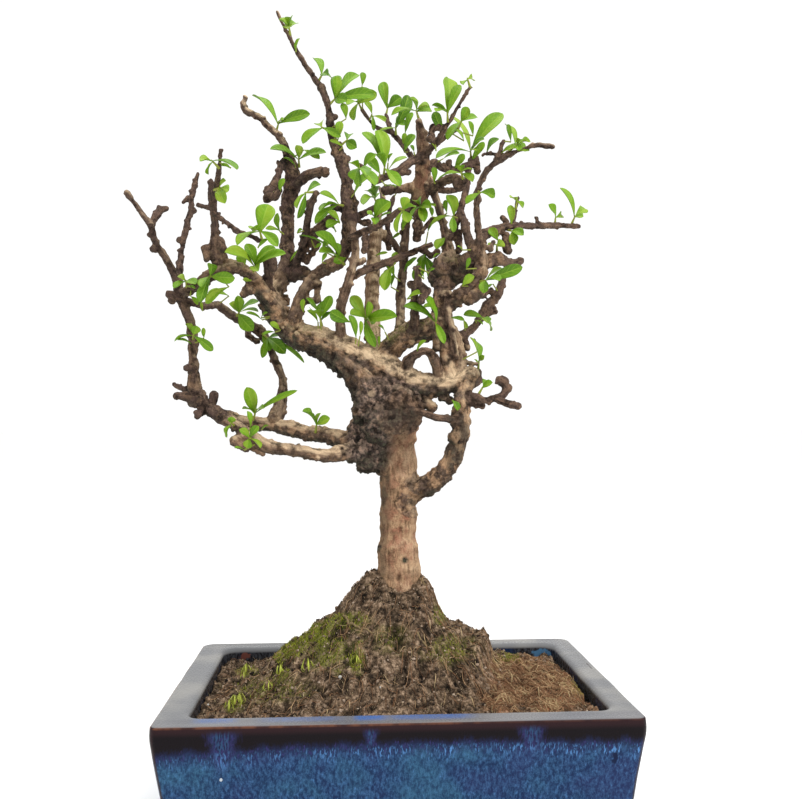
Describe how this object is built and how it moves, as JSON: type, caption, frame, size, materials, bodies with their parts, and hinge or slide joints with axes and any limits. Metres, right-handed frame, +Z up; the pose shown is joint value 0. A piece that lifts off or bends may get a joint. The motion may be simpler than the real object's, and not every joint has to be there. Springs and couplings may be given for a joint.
{
  "type": "fukien tea bonsai",
  "caption": "Fukien tea bonsai with a knotted trunk, spreading limbs and small glossy leaves, planted in mounded soil in a low rectangular glazed pot.",
  "frame": {"origin": "centre of the pot's flat base", "axes": "+Z up along the trunk, +X along the pot's long side to the viewer's right, -Y towards the viewer"},
  "size_m": [0.237, 0.1534, 0.3984],
  "materials": {
    "glaze": "gloss",
    "screen": "matte",
    "soil": "rough",
    "bark": "rough",
    "leaf": "satin"
  },
  "bodies": {
    "root": {"drain_screen_left": "screen", "drain_screen_right": "screen", "leaves_arch_end": "leaf", "leaves_arm_fork_mid": "leaf", "leaves_arm_fork_top": "leaf", "leaves_arm_side_big": "leaf", "leaves_arm_side_low": "leaf", "leaves_back_left_mid": "leaf", "leaves_back_thin_top": "leaf", "leaves_back_twig_top": "leaf", "leaves_burl_twig_top": "leaf", "leaves_centre_fan": "leaf", "leaves_centre_front_mid": "leaf", "leaves_centre_front_tip": "leaf", "leaves_centre_low": "leaf", "leaves_centre_right": "leaf", "leaves_centre_sweep_tip": "leaf", "leaves_column_low": "leaf", "leaves_crown_left_low": "leaf", "leaves_crown_left_mid": "leaf", "leaves_elbow": "leaf", "leaves_front_big": "leaf", "leaves_hook": "leaf", "leaves_leader_left": "leaf", "leaves_leader_low_left": "leaf", "leaves_leader_mid_left": "leaf", "leaves_leader_out_right": "leaf", "leaves_leader_right": "leaf", "leaves_left_arm_low": "leaf", "leaves_left_burl_low": "leaf", "leaves_left_low_tip": "leaf", "leaves_left_mid": "leaf", "leaves_left_node": "leaf", "leaves_low_left_back": "leaf", "leaves_low_left_front": "leaf", "leaves_low_left_under": "leaf", "leaves_reach_end": "leaf", "leaves_reach_mid": "leaf", "leaves_reach_spur": "leaf", "leaves_reach_upright": "leaf", "leaves_right_arm_knot": "leaf", "leaves_right_arm_mid": "leaf", "leaves_right_front_tip": "leaf", "leaves_right_leader_top": "leaf", "leaves_right_long": "leaf", "leaves_right_low_mid": "leaf", "leaves_right_spur": "leaf", "leaves_stalk_low": "leaf", "leaves_sweep_low": "leaf", "leaves_tip_right": "leaf", "leaves_tip_top": "leaf", "leaves_tip_upper": "leaf", "leaves_top_side": "leaf", "leaves_top_twig_mid": "leaf", "leaves_top_twig_tip": "leaf", "leaves_twig_knot": "leaf", "leaves_twig_left": "leaf", "pot": "glaze", "soil": "soil", "wood": "bark"}
  },
  "joints": []
}
